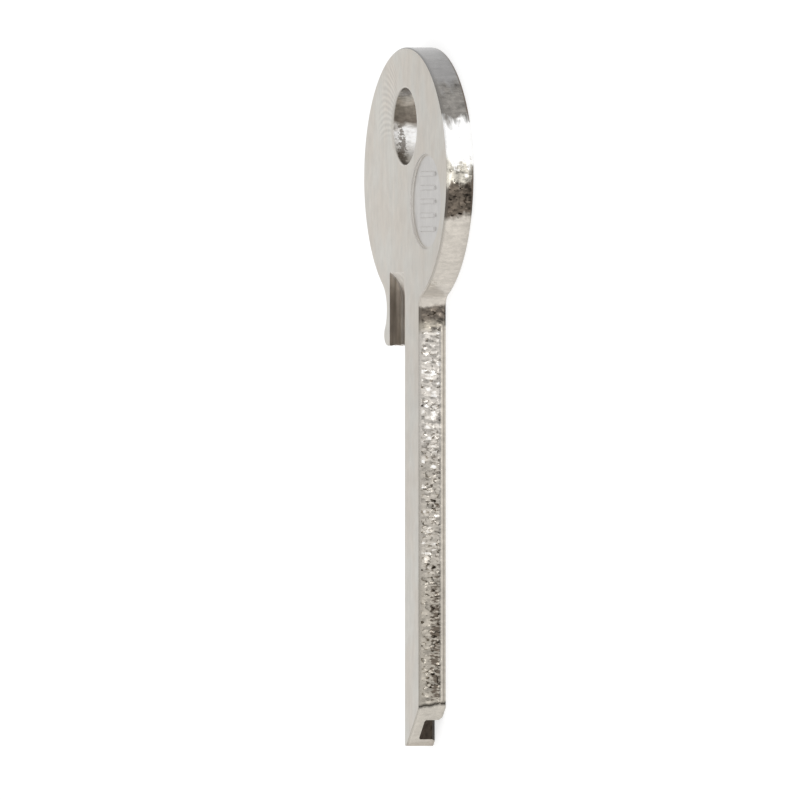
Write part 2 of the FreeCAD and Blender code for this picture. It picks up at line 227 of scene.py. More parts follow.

# %% [markdown]
# The punched edge isn't the same all the way along. The crown of the bow is
# sheared smooth, its flanks are torn, and the blade is torn from end to end. The
# slopes of the tip were ground later. The tones along the edge are partly the
# metal's own and partly painted reflection: a painted highlight on one flank of the
# bow, painted darker reflections on the crown and in dark bands, and a painted
# shadow in the tear above the slopes.
# One list names these zones, and both the shape and the finish read it, so that
# rough metal and dark metal stay in the same places.

# %% Zones of the edge
# Each zone gives where it starts, how soft its border is, how torn it is, its tone and mottle, the share
# of facets painted white as painted highlights, and the share of pits painted dark as painted shade.
Zone = namedtuple("Zone", "start soft torn tone mottle glints pits")
EDGE_ZONES = {
    "tip end": Zone(-26.0, 0.1, 0.0, (0.43, 0.39, 0.34), 0.2, 0.0, 0.0),
    "tip slopes": Zone(-25.2, 0.3, 0.0, (0.53, 0.495, 0.44), 0.2, 0.0, 0.0),
    # A painted shadow: the tear above the slopes is painted nearly black for the shade of its undercut.
    "shadowed tear above the slopes": Zone(-22.62, 0.07, 0.5, (0.022, 0.017, 0.012), 0.3, 0.0, 0.0),
    "low blade": Zone(-22.34, 0.07, 1.0, (0.445, 0.41, 0.355), 0.55, 0.05, 0.8),
    "middle of the blade": Zone(-13.0, 3.0, 1.0, (0.495, 0.46, 0.41), 0.65, 0.3, 0.5),
    "high blade": Zone(-4.0, 3.0, 1.0, (0.60, 0.565, 0.52), 0.85, 0.40, 0.35),
    "below the neck": Zone(4.7, 0.2, 0.8, (0.40, 0.365, 0.31), 1.1, 0.1, 0.3),
    # Partly dark torn metal and partly a painted darker reflection.
    "foot of the neck": Zone(5.35, 0.2, 0.6, (0.175, 0.15, 0.125), 1.2, 0.0, 0.1),
    "flank": Zone(6.45, 0.2, 0.12, (0.585, 0.545, 0.49), 0.18, 0.0, 0.0),
    # Partly dark torn metal and partly a painted darker reflection.
    "torn side": Zone(12.9, 0.3, 0.8, (0.135, 0.112, 0.09), 1.2, 0.0, 0.0),
    "mottled side": Zone(15.5, 0.4, 0.5, (0.73, 0.69, 0.605), 1.0, 0.4, 0.2),
    # A painted highlight: the bright side is painted almost white, with white facets.
    "bright side": Zone(16.7, 0.3, 0.2, (0.99, 0.99, 0.985), 0.05, 1.0, 0.0),
    # Painted darker reflections: the grey of the shoulder and of the crown.
    "dark shoulder": Zone(19.85, 0.8, 0.06, (0.245, 0.232, 0.215), 0.5, 0.0, 0.0),
    "crown": Zone(22.5, 1.2, 0.0, (0.31, 0.305, 0.302), 0.14, 0.0, 0.0),
}


def zone_stops(pick):
    """Places along the key and what pick gives there, with a slope at each border."""
    zones = list(EDGE_ZONES.values())
    slopes = [zone.soft / 2 for zone in zones] + [0.0]
    ends = [zone.start for zone in zones[1:]] + [TOP_X + 1.0]
    stops = []
    for zone, end, slope_in, slope_out in zip(zones, ends, slopes, slopes[1:]):
        stops += [(zone.start + slope_in, pick(zone)), (end - slope_out, pick(zone))]
    return stops


# %% [markdown]
# I build a closed sleeve on the outline, a fine grid of points, and give each
# point three attributes: the way inwards, how far round the outline it is, and how
# torn the metal is there.

# %% The sleeve round the key
ROW_STEP = 0.084
SLEEVE_OVERHANG = 0.3


def build_sleeve(name):
    rows = [-SLEEVE_OVERHANG]
    rows += list(np.linspace(0, THICKNESS, int(round(THICKNESS / ROW_STEP)) + 1))
    rows += [THICKNESS + SLEEVE_OVERHANG]
    columns = len(points)
    places = np.array([(x, y, z) for z in rows for x, y in points])
    grid = np.arange(len(rows) * columns).reshape(len(rows), columns)
    around = np.roll(grid, -1, axis=1)
    quads = np.stack([grid[:-1], around[:-1], around[1:], grid[1:]], axis=-1).reshape(-1, 4)
    faces = quads.tolist() + [grid[0][::-1].tolist(), grid[-1].tolist()]
    mesh = bpy.data.meshes.new(name)
    mesh.from_pydata(places.tolist(), [], faces)
    mesh.update()
    stops = zone_stops(lambda zone: zone.torn)
    torn = np.interp(points[:, 0], [x for x, value in stops], [value for x, value in stops])
    one_row = np.column_stack([inwards, np.zeros(columns)])
    inward = mesh.attributes.new("inward", "FLOAT_VECTOR", "POINT")
    inward.data.foreach_set("vector", np.tile(one_row, (len(rows), 1)).ravel())
    for label, values in (("torn", torn), ("travel", np.arange(columns) * COLUMN_STEP)):
        mesh.attributes.new(label, "FLOAT", "POINT").data.foreach_set("value", np.tile(values, len(rows)))
    sleeve = bpy.data.objects.new(name, mesh)
    bpy.context.collection.objects.link(sleeve)
    print("sleeve: %d faces" % len(faces))
    return sleeve


sleeve = build_sleeve("sleeve")

# %% [markdown]
# Torn metal is a patchwork of small tilted facets, drawn out across the thickness
# by the punch. A Voronoi texture on the unrolled edge gives each facet a middle
# and a random colour. I read that colour as a tilt, so every facet is a plane of
# its own, and the plane's height at a point is how deep the metal is torn there.
# It only ever goes inwards, so the key keeps its size. The facet's number is kept
# as an attribute, so that the finish can treat each facet as one piece.

# %% Geometry Nodes that tear an edge
SCALLOP = 0.24
BAND_BORDER = (-0.01, 0.09)
FACET_DRIFT = (0.22, 0.3, 0.0)
TILT_SHARES = (1.0, 1.6, 0.0)


def tearing_tree():
    tree = bpy.data.node_groups.new("tear_edge", "GeometryNodeTree")
    face = tree.interface
    face.new_socket("Geometry", in_out="INPUT", socket_type="NodeSocketGeometry")
    sizes = {"Facet length": 0.44, "Facet width": 0.21, "Facet tilt": 0.5, "Depth": 0.045,
             "Skin": 0.004, "Seed": 3.0, "Back land": 0.4, "Front land": 0.17,
             "Thickness": THICKNESS}
    for name, value in sizes.items():
        face.new_socket(name, in_out="INPUT", socket_type="NodeSocketFloat").default_value = value
    face.new_socket("Material", in_out="INPUT", socket_type="NodeSocketMaterial")
    face.new_socket("Geometry", in_out="OUTPUT", socket_type="NodeSocketGeometry")
    given = tree.nodes.new("NodeGroupInput").outputs

    def attribute(name, kind="FLOAT"):
        return add(tree, "GeometryNodeInputNamedAttribute", {"data_type": kind}, {"Name": name}).outputs[0]

    place = add(tree, "GeometryNodeInputPosition").outputs[0]
    height = split(tree, place)["Z"]

    # The bands at both faces stay smooth. The front one has a scalloped border.
    wander = add(tree, "ShaderNodeTexNoise", {"noise_dimensions": "4D"},
                 {"Vector": place, "W": given["Seed"], "Scale": 2.8, "Detail": 2.0}).outputs[0]
    scallop = math_node(tree, "MULTIPLY_ADD", wander, SCALLOP, -SCALLOP / 2)
    from_back = math_node(tree, "SUBTRACT", height, given["Back land"])
    scalloped = math_node(tree, "ADD", height, scallop)
    to_front = math_node(tree, "SUBTRACT", given["Thickness"], scalloped)
    to_front = math_node(tree, "SUBTRACT", to_front, given["Front land"])
    band = smooth_step(tree, math_node(tree, "MINIMUM", from_back, to_front), *BAND_BORDER)

    # Each facet is a plane through its middle, tilted at random.
    drift = add(tree, "ShaderNodeTexNoise", None,
                {"Vector": place, "Scale": 3.0, "Detail": 2.0}).outputs["Color"]
    unrolled = add(tree, "ShaderNodeCombineXYZ", None, {"X": attribute("travel"), "Y": height}).outputs[0]
    bent = vector_node(tree, "MULTIPLY_ADD", drift, FACET_DRIFT, unrolled)
    facet_size = add(tree, "ShaderNodeCombineXYZ", None,
                     {"X": given["Facet width"], "Y": given["Facet length"], "Z": 1.0}).outputs[0]
    counted = vector_node(tree, "DIVIDE", bent, facet_size)
    shifted = vector_node(tree, "ADD", counted, given["Seed"])
    cell = add(tree, "ShaderNodeTexVoronoi", {"voronoi_dimensions": "2D"},
               {"Vector": shifted, "Scale": 1.0})
    arm = vector_node(tree, "SUBTRACT", shifted, cell.outputs["Position"])
    arm = vector_node(tree, "MULTIPLY", arm, facet_size)
    tilt = vector_node(tree, "SUBTRACT", cell.outputs["Color"], (0.5, 0.5, 0.5))
    tilt = vector_node(tree, "MULTIPLY", tilt, TILT_SHARES)
    plane = add(tree, "ShaderNodeVectorMath", {"operation": "DOT_PRODUCT"},
                {0: arm, 1: tilt}).outputs["Value"]
    plane = product(tree, plane, given["Facet tilt"])
    number = split(tree, cell.outputs["Color"])["Z"]
    depth = math_node(tree, "MULTIPLY_ADD", number, given["Depth"], plane)
    depth = math_node(tree, "ADD", depth, given["Depth"])
    depth = math_node(tree, "MAXIMUM", depth, 0.0)
    depth = product(tree, depth, product(tree, attribute("torn"), band))
    total = math_node(tree, "ADD", depth, given["Skin"])
    offset = add(tree, "ShaderNodeVectorMath", {"operation": "SCALE"},
                 {0: attribute("inward", "FLOAT_VECTOR"), "Scale": total}).outputs["Vector"]

    geometry = given["Geometry"]
    for label, value in (("pit", depth), ("facet", number), ("band", band)):
        kept = add(tree, "GeometryNodeStoreNamedAttribute", {"data_type": "FLOAT", "domain": "POINT"},
                   {"Geometry": geometry, "Name": label, "Value": value})
        geometry = kept.outputs[0]
    moved = add(tree, "GeometryNodeSetPosition", None, {"Geometry": geometry, "Offset": offset})
    real = add(tree, "GeometryNodeRealizeInstances", None, {"Geometry": moved.outputs[0]})
    coated = add(tree, "GeometryNodeSetMaterial", None,
                 {"Geometry": real.outputs[0], "Material": given["Material"]})
    add(tree, "NodeGroupOutput", None, {0: coated.outputs[0]})
    return tree


def set_input(modifier, name, value):
    """Give a Geometry Nodes modifier one of its inputs by its name in the tree."""
    for item in modifier.node_group.interface.items_tree:
        if item.in_out == "INPUT" and item.name == name:
            modifier[item.identifier] = value


def made_solid(piece):
    """Turn an object's evaluated shape into its plain mesh, with no modifier left."""
    bpy.context.view_layer.update()
    graph = bpy.context.evaluated_depsgraph_get()
    evaluated = piece.evaluated_get(graph)
    mesh = bpy.data.meshes.new_from_object(evaluated, preserve_all_data_layers=True, depsgraph=graph)
    piece.modifiers.clear()
    piece.data = mesh
    return piece


torn_metal = bpy.data.materials.new("torn_nickel")
tear = sleeve.modifiers.new("tear", "NODES")
tear.node_group = tearing_tree()
set_input(tear, "Material", torn_metal)
made_solid(sleeve)
pits = np.zeros(len(sleeve.data.vertices))
sleeve.data.attributes["pit"].data.foreach_get("value", pits)
print("torn up to %.3f mm deep" % pits.max())

# %% [markdown]
# The rest of the shape comes from the solid: a copy of its mesh, with the loose
# triangles joined. Its faces get the finish of the place they are at, and then
# the sleeve trims it, as the punch did.

# %% The trimmed key
def copy_of_node(name, node):
    mesh = bmesh.new()
    mesh.from_mesh(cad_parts[node].data)
    mesh.transform(Matrix.Scale(1 / MM, 4))
    bmesh.ops.remove_doubles(mesh, verts=mesh.verts, dist=1e-4)
    data = bpy.data.meshes.new(name)
    mesh.to_mesh(data)
    mesh.free()
    piece = bpy.data.objects.new(name, data)
    bpy.context.collection.objects.link(piece)
    return piece


key = copy_of_node("nickel_key_blank", "key_blank")
FINISHES = ["rolled_nickel", "bored_nickel", "milled_wall_nickel", "milled_floor_nickel"]
for finish in FINISHES:
    key.data.materials.append(bpy.data.materials.new(finish))
key.data.materials.append(torn_metal)

trim = key.modifiers.new("trim", "BOOLEAN")
trim.operation = "INTERSECT"
trim.solver = "MANIFOLD"
trim.object = sleeve
made_solid(key)
bpy.data.objects.remove(sleeve)
print("key: %d faces, %s" % (len(key.data.polygons), [m.name for m in key.data.materials]))

# %% [markdown]
# The trim keeps the sleeve's finish on the edge. The other faces get theirs from
# where they are: inside the ring hole, in the milled cuts, or anywhere else. In a
# cut, the walls are darker and the floor and its run-out are nearly as light as the
# face.
# Edges stay sharp above an angle. Between two torn facets that angle is larger,
# because the plating rounds the torn metal.

# %% A finish for each face
MILLED_END_X = 9.7
RIM_ROUND = 0.14
HOLE_ROUND = 0.16
MOUTH_Z = 2.05
LEANING = 0.35
UPRIGHT = 0.9
FACE_SKIN = 0.005
SMOOTH_ANGLE = math.radians(27)
TORN_SMOOTH_ANGLE = math.radians(36)
# Slot 0, the rolled finish, is what a face keeps when it gets none of these.
BORED, MILLED_WALL, MILLED_FLOOR, TORN = range(1, 5)


def is_milled(middle):
    """True for the walls, floors and run-outs of the two cuts along the blade."""
    half_here = min(HALF_WIDTH, TIP_FLAT / 2 + middle.x - TIP_X)
    near_rim = middle.y < -half_here + RIM_ROUND or HALF_WIDTH - RIM_ROUND < middle.y < HALF_WIDTH
    below_stop = middle.y < STOP_REACH - STOP_NOSE - RIM_ROUND
    return middle.x < MILLED_END_X and below_stop and not near_rim


def is_wall(middle, normal):
    """True for the upright sides of a cut, with the roundings in its corners."""
    return abs(normal.y) > LEANING and middle.z < MOUTH_Z or abs(normal.y) > UPRIGHT


def is_punched(middle, normal):
    """True for what is left of the solid's own edge, with its roundings."""
    off_panel = (middle.xy - PANEL_CENTRE).length > PANEL_RADIUS + 0.1
    return abs(normal.z) < UPRIGHT and off_panel


def soften_torn_edges(data):
    """Blend the shading of torn facets, because the plating rounds their edges."""
    mesh = bmesh.new()
    mesh.from_mesh(data)
    for edge in mesh.edges:
        if all(face.material_index == TORN for face in edge.link_faces):
            edge.smooth = edge.calc_face_angle(0.0) < TORN_SMOOTH_ANGLE
    mesh.to_mesh(data)
    mesh.free()


counts = [0] * len(key.data.materials)
for polygon in key.data.polygons:
    middle = polygon.center
    off_faces = FACE_SKIN < middle.z < THICKNESS - FACE_SKIN
    if polygon.material_index != TORN and off_faces:
        if (middle.xy - HOLE_CENTRE).length < HOLE_RADIUS + HOLE_ROUND:
            polygon.material_index = BORED
        elif is_milled(middle):
            polygon.material_index = MILLED_WALL if is_wall(middle, polygon.normal) else MILLED_FLOOR
        elif is_punched(middle, polygon.normal):
            polygon.material_index = TORN
    polygon.use_smooth = True
    counts[polygon.material_index] += 1
key.data.attributes.remove(key.data.attributes["custom_normal"])
key.data.set_sharp_from_angle(angle=SMOOTH_ANGLE)
soften_torn_edges(key.data)
weigh = key.modifiers.new("weigh_normals", "WEIGHTED_NORMAL")
weigh.keep_sharp = True
weigh.mode = "FACE_AREA"
made_solid(key)
key.data.transform(Matrix.Scale(MM, 4))
print("faces: rolled %d, bored %d, milled walls %d, milled floors %d, torn %d" % tuple(counts))

# %% [markdown]
# All the finishes are one plating on different ground. A shared start gives each
# material its place in millimetres and a bright metal. The reflections carry most
# of the look, so the base colour stays pale and the roughness and the bump differ.


# %% What the finishes share
def start_metal(name):
    """Empty the material and return its tree, its shader and the place in millimetres."""
    material = bpy.data.materials[name]
    material.use_nodes = True
    tree = material.node_tree
    tree.nodes.clear()
    shader = add(tree, "ShaderNodeBsdfPrincipled", None, {"Metallic": 1.0})
    add(tree, "ShaderNodeOutputMaterial", None, {"Surface": shader.outputs[0]})
    corner = add(tree, "ShaderNodeTexCoord").outputs["Object"]
    place = add(tree, "ShaderNodeMapping", None, {"Vector": corner, "Scale": (1 / MM,) * 3}).outputs[0]
    return tree, shader, place


def noise(tree, place, scale, detail=2.0, stretch=(1.0, 1.0, 1.0), roughness=0.5):
    """Noise with features about 1 / scale millimetres wide, stretched along an axis."""
    drawn = vector_node(tree, "MULTIPLY", place, stretch)
    inputs = {"Vector": drawn, "Scale": scale, "Detail": detail, "Roughness": roughness}
    return add(tree, "ShaderNodeTexNoise", None, inputs).outputs[0]


def blend_colours(tree, amount, first, second):
    """Go from the first colour to the second as amount goes from 0 to 1."""
    inputs = {"Factor": amount, "A": first, "B": second}
    node = add(tree, "ShaderNodeMix", {"data_type": "RGBA"})
    for socket in node.inputs:
        if socket.name in inputs and socket.enabled:
            value = inputs[socket.name]
            if isinstance(value, bpy.types.NodeSocket):
                tree.links.new(value, socket)
            else:
                socket.default_value = value if socket.name == "Factor" else (*value, 1.0)
    return [socket for socket in node.outputs if socket.enabled][0]


def blend_numbers(tree, amount, first, second):
    """Go from the first value to the second as amount goes from 0 to 1."""
    step = math_node(tree, "SUBTRACT", second, first)
    return math_node(tree, "MULTIPLY_ADD", amount, step, first)


def scaled(tree, value, low_end, high_end):
    """Stretch a value from 0..1 to low_end..high_end."""
    return math_node(tree, "MULTIPLY_ADD", value, high_end - low_end, low_end)


def shaded(tree, colour, amount):
    """A colour made darker or lighter by an amount."""
    inputs = {0: colour, "Scale": amount}
    return add(tree, "ShaderNodeVectorMath", {"operation": "SCALE"}, inputs).outputs["Vector"]


def colour_ramp(tree, value, stops):
    """A ramp through stops, each a place and four numbers. Returns its node."""
    first, last = stops[0][0], stops[-1][0]
    share = add(tree, "ShaderNodeMapRange", None,
                {"Value": value, "From Min": first, "From Max": last})
    node = add(tree, "ShaderNodeValToRGB", None, {"Fac": share.outputs[0]})
    elements = node.color_ramp.elements
    elements.remove(elements[-1])
    elements[0].position = 0.0
    elements[0].color = stops[0][1]
    for place, numbers in stops[1:]:
        elements.new((place - first) / (last - first)).color = numbers
    return node


def set_bump(tree, shader, height, strength, distance):
    inputs = {"Strength": strength, "Distance": distance * MM, "Height": height}
    tree.links.new(add(tree, "ShaderNodeBump", None, inputs).outputs[0], shader.inputs["Normal"])


def print_finish(name):
    tree = bpy.data.materials[name].node_tree
    print("%s: %d nodes" % (name, len(tree.nodes)))


# %% [markdown]
# The faces are rolled sheet, tumbled smooth before plating. They have a soft
# cloudiness and faint lines along the key from rolling. Beside the ring hole there
# is a fan of fine ripples, where the metal was squeezed. A soft painted shade line
# lies on the rim of the sunk panel and along the edge of the step, and the faces are
# painted a little lighter towards the tip and towards the far edge, as painted light.

# %% Rolled faces
FACE_COOL = (0.70, 0.68, 0.635)
FACE_WARM = (0.705, 0.66, 0.60)
PANEL_COOL = (0.705, 0.69, 0.675)
SHADE_LINE_GREY = (0.635, 0.61, 0.575)
PANEL_SOFT = 0.3
PANEL_LINE = (0.12, 0.04)
STEP_EDGE_Y = (-0.22, -0.06)
STEP_EDGE_X = (4.4, 3.6)
# The fan fades between these places, measured from the middle of the hole.
FAN_FOOT_X = (-1.2, -0.2)
FAN_HEAD_X = (5.0, 4.2)
FAN_Y = (1.2, 2.4)
FAN_RIM = (6.2, 4.8)
# Its ripples lie along rays from a centre of their own, and bend off a crest.
FAN_CENTRE = Vector((19.0, -6.0))
FAN_REACH = 11.0
RIPPLE_PITCH = 0.45
RIPPLE_CREST_Y = 3.6
RIPPLE_BEND = -2.2
RIPPLE_WANDER = 5.0
RIPPLE_TONE = 0.09


def finish_rolled(name):
    tree, shader, place = start_metal(name)
    cloud = noise(tree, place, 0.45, 3.0, (0.6, 1.0, 1.0))
    blotch = noise(tree, place, 1.3, 3.0, (0.7, 1.3, 1.0), 0.6)
    rolled_lines = noise(tree, place, 6.0, 2.0, (0.03, 1.0, 1.0))
    fine = noise(tree, place, 9.0, 3.0)
    axes = split(tree, place)

    def away_from(centre):
        """The flat way from a centre, and how far it is."""
        way = vector_node(tree, "SUBTRACT", place, (*centre, 0.0))
        flat = vector_node(tree, "MULTIPLY", way, (1.0, 1.0, 0.0))
        reach = add(tree, "ShaderNodeVectorMath", {"operation": "LENGTH"}, {0: flat})
        return flat, reach.outputs["Value"]

    # The fan of ripples.
    from_hole, hole_reach = away_from(HOLE_CENTRE)
    sides = split(tree, from_hole)
    rays = split(tree, away_from(FAN_CENTRE)[0])
    turn = math_node(tree, "ARCTAN2", rays["Y"], rays["X"])
    bend = math_node(tree, "POWER", math_node(tree, "SUBTRACT", sides["Y"], RIPPLE_CREST_Y), 2.0)
    per_radian = 2 * math.pi * FAN_REACH / RIPPLE_PITCH
    wander = product(tree, blotch, RIPPLE_WANDER)
    phase = math_node(tree, "MULTIPLY_ADD", turn, per_radian, wander)
    phase = math_node(tree, "MULTIPLY_ADD", bend, RIPPLE_BEND, phase)
    fan = product(tree, smooth_step(tree, sides["X"], *FAN_FOOT_X),
                  smooth_step(tree, sides["X"], *FAN_HEAD_X), smooth_step(tree, sides["Y"], *FAN_Y))
    fan = product(tree, fan, smooth_step(tree, hole_reach, *FAN_RIM))
    ripple = product(tree, math_node(tree, "SINE", phase), fan)

    # The tint: warm clouds, a cooler panel, and soft painted shade lines on its rim and along the step.
    tint = blend_colours(tree, smooth_step(tree, cloud, 0.35, 0.65), FACE_COOL, FACE_WARM)
    panel_reach = away_from(PANEL_CENTRE)[1]
    in_panel = smooth_step(tree, panel_reach, PANEL_RADIUS, PANEL_RADIUS - PANEL_SOFT)
    tint = blend_colours(tree, in_panel, tint, PANEL_COOL)
    off_rim = math_node(tree, "ABSOLUTE", math_node(tree, "SUBTRACT", panel_reach, PANEL_RADIUS))
    line = product(tree, smooth_step(tree, off_rim, *PANEL_LINE), scaled(tree, blotch, 0.4, 1.0))
    step_edge = product(tree, smooth_step(tree, axes["Y"], *STEP_EDGE_Y),
                        smooth_step(tree, axes["X"], *STEP_EDGE_X))
    line = math_node(tree, "MAXIMUM", line, product(tree, step_edge, 0.4))
    tint = blend_colours(tree, line, tint, SHADE_LINE_GREY)

    # The shade: lines from rolling, blotches, and painted light, a slow rise along and across.
    painted_light_along = scaled(tree, smooth_step(tree, axes["X"], 2.0, -20.0), 1.0, 1.05)
    painted_light_across = scaled(tree, smooth_step(tree, axes["Y"], -6.0, 7.0), 0.985, 1.06)
    shade = product(tree, scaled(tree, rolled_lines, 0.94, 1.06), scaled(tree, blotch, 0.86, 1.14),
                    scaled(tree, fine, 0.97, 1.03), painted_light_along, painted_light_across)
    shade = math_node(tree, "MULTIPLY_ADD", ripple, RIPPLE_TONE, shade)
    tree.links.new(shaded(tree, tint, shade), shader.inputs["Base Color"])

    # The wall of the panel and the sides of its ribs are dull.
    facing = split(tree, add(tree, "ShaderNodeTexCoord").outputs["Normal"])
    leaning = smooth_step(tree, math_node(tree, "ABSOLUTE", facing["Z"]), 0.985, 0.93)
    dullness = scaled(tree, smooth_step(tree, off_rim, 0.15, 0.3), 0.8, 0.35)
    metallic = math_node(tree, "SUBTRACT", 1.0, product(tree, leaning, dullness))
    tree.links.new(metallic, shader.inputs["Metallic"])
    rough = math_node(tree, "MULTIPLY_ADD", leaning, 0.2, scaled(tree, cloud, 0.24, 0.36))
    tree.links.new(rough, shader.inputs["Roughness"])
    lines_and_grain = math_node(tree, "ADD", rolled_lines, fine)
    height = math_node(tree, "MULTIPLY_ADD", ripple, 0.5, lines_and_grain)
    set_bump(tree, shader, height, 0.07, 0.02)


finish_rolled("rolled_nickel")
print_finish("rolled_nickel")

# %% [markdown]
# The punched edge is the same plating over torn brass. The facets already catch
# the light. The material gives each facet its own tone, paints some white as
# painted highlights and darkens the pits as painted shade, in the shares that its
# zone asks for. A thin painted shade line runs along the front face and a brown
# burr along the back of the bow, and on the blade a smooth strip lies below the
# torn band. The painted highlights stay off the far side of the bow, which is beige.

# %% Torn edge
HIGHLIGHT_WHITE = (0.99, 0.985, 0.975)
PIT_SHADE_BROWN = (0.145, 0.12, 0.096)
BURR_BROWN = (0.17, 0.135, 0.11)
FAR_SIDE_BEIGE = (0.50, 0.47, 0.43)
STRIP_BEIGE = (0.60, 0.555, 0.485)
STRIP_LINE = (0.38, 0.345, 0.30)
# Borders along the key, each from where it begins to where it is complete.
BOW_BORDER = (12.0, 15.5)
CORNER_FOOT = (6.4, 6.7)
CORNER_HEAD = (8.6, 7.6)
BLADE_HEAD = (5.3, 5.0)
LOWER_BORDER = (1.0, -4.0)
LOW_BLADE_BORDER = (-9.0, -15.0)
ABOVE_TIP = (-22.34, -22.26)
FAR_SIDE_Y = (1.0, 3.0)
# Heights over the back face.
REAR_Z = (1.5, 1.05)
STRIP_TOP_Z = (0.54, 0.47)
LIP_Z = 0.46
STRIP_LINE_Z = 0.2
BURR_Z = (0.2, 0.1)


def finish_torn(name):
    tree, shader, place = start_metal(name)

    def attribute(label):
        return add(tree, "ShaderNodeAttribute", {"attribute_name": label}).outputs["Fac"]

    axes = split(tree, place)
    on_bow = smooth_step(tree, axes["X"], *BOW_BORDER)
    crumble = noise(tree, place, 5.0, 4.0, (1.2, 1.0, 0.7), 0.6)
    patch = noise(tree, place, 2.2, 3.0, (1.5, 1.2, 0.6), 0.6)
    warp = math_node(tree, "SUBTRACT", noise(tree, place, 1.6, 3.0, (0.5, 0.5, 1.6)), 0.5)
    warp = product(tree, warp, scaled(tree, on_bow, 0.3, 2.6))
    slant = product(tree, math_node(tree, "SUBTRACT", axes["Z"], THICKNESS), 0.12)
    along = math_node(tree, "ADD", axes["X"], math_node(tree, "ADD", warp, slant))
    tones = zone_stops(lambda zone: (*zone.tone, zone.mottle))
    shares = zone_stops(lambda zone: (zone.glints, zone.pits, zone.torn, 1.0))
    ground = colour_ramp(tree, along, tones)
    accents = colour_ramp(tree, along, shares)
    glints, pits, torn = add(tree, "ShaderNodeSeparateColor", None, {0: accents.outputs[0]}).outputs

    # Mottling: patches, crumble and each facet's own tone.
    facet = attribute("facet")
    broad = math_node(tree, "SUBTRACT", noise(tree, place, 1.0, 3.0, (1.0, 1.0, 1.2), 0.6), 0.5)
    small = math_node(tree, "SUBTRACT", math_node(tree, "MULTIPLY_ADD", facet, 0.6, crumble), 0.8)
    small = product(tree, small, scaled(tree, on_bow, 1.2, 0.7))
    uneven = math_node(tree, "SUBTRACT", patch, 0.5)
    uneven = math_node(tree, "MULTIPLY_ADD", uneven, 2.2, small)
    uneven = math_node(tree, "MULTIPLY_ADD", product(tree, broad, on_bow), 3.0, uneven)
    lighter = math_node(tree, "MULTIPLY_ADD", uneven, ground.outputs["Alpha"], 1.0)
    lighter = math_node(tree, "MAXIMUM", lighter, 0.25)
    # The painted highlights stay off the far side of the bow, which is beige.
    far_side = product(tree, on_bow, smooth_step(tree, axes["Y"], *FAR_SIDE_Y))
    glints = product(tree, glints, math_node(tree, "SUBTRACT", 1.0, far_side))
    tone = blend_colours(tree, far_side, ground.outputs["Color"], FAR_SIDE_BEIGE)
    colour = shaded(tree, tone, lighter)

    # Painted highlights: some facets are painted white.
    band = attribute("band")
    bright = math_node(tree, "MULTIPLY_ADD", patch, 0.8, facet)
    limit = scaled(tree, glints, 1.5, 0.75)
    painted_highlight = smooth_step(tree, math_node(tree, "SUBTRACT", bright, limit), 0.0, 0.25)
    colour = blend_colours(tree, product(tree, painted_highlight, band), colour, HIGHLIGHT_WHITE)

    # Painted shade in the pits: fewer along the front of the blade, more along its back lower down.
    on_blade = smooth_step(tree, axes["X"], *BLADE_HEAD)
    to_back = smooth_step(tree, axes["Z"], *REAR_Z)
    lower = smooth_step(tree, axes["X"], *LOWER_BORDER)
    rear = product(tree, on_blade, scaled(tree, to_back, -0.28, 0.0))
    rear = math_node(tree, "MULTIPLY_ADD", product(tree, lower, to_back), 0.15, rear)
    across = noise(tree, place, 3.4, 3.0, (2.0, 1.0, 0.5), 0.6)
    grain = math_node(tree, "SUBTRACT", 1.0, blend_numbers(tree, lower, crumble, across))
    by_pit = scaled(tree, lower, 2.0, 1.2)
    deep = math_node(tree, "MULTIPLY_ADD", attribute("pit"), by_pit, grain)
    deep = math_node(tree, "ADD", deep, rear)
    over = math_node(tree, "SUBTRACT", deep, scaled(tree, pits, 1.0, 0.58))
    pit_shade = smooth_step(tree, over, 0.0, 0.1)
    colour = blend_colours(tree, product(tree, pit_shade, band), colour, PIT_SHADE_BROWN)

    # The smooth strip at the back of the blade, with a line along its middle.
    above_tip = smooth_step(tree, along, *ABOVE_TIP)
    on_strip = product(tree, on_blade, above_tip)
    off_line = math_node(tree, "ABSOLUTE", math_node(tree, "SUBTRACT", axes["Z"], STRIP_LINE_Z))
    strip = blend_colours(tree, smooth_step(tree, off_line, 0.1, 0.02), STRIP_BEIGE, STRIP_LINE)
    strip = shaded(tree, strip, scaled(tree, patch, 0.65, 1.35))
    low_blade = smooth_step(tree, axes["X"], *LOW_BLADE_BORDER)
    strip = shaded(tree, strip, scaled(tree, low_blade, 1.0, 0.9))
    ragged = math_node(tree, "MULTIPLY_ADD", crumble, 0.2, axes["Z"])
    in_strip = product(tree, on_strip, smooth_step(tree, ragged, *STRIP_TOP_Z))
    colour = blend_colours(tree, in_strip, colour, strip)

    # A painted shade line along the front face, the ground tone made darker but lighter on the tip slopes,
    # and a brown burr along the back of the bow.
    scallop = math_node(tree, "MULTIPLY_ADD", crumble, 0.14, axes["Z"])
    front = smooth_step(tree, scallop, THICKNESS - 0.22, THICKNESS - 0.06)
    not_white = math_node(tree, "SUBTRACT", 0.9, product(tree, glints, on_bow))
    rim_shade_line = shaded(tree, ground.outputs["Color"], scaled(tree, above_tip, 1.1, 0.85))
    colour = blend_colours(tree, product(tree, front, not_white), colour, rim_shade_line)
    back = product(tree, smooth_step(tree, axes["Z"], *BURR_Z), on_bow)
    colour = blend_colours(tree, product(tree, back, not_white), colour, BURR_BROWN)

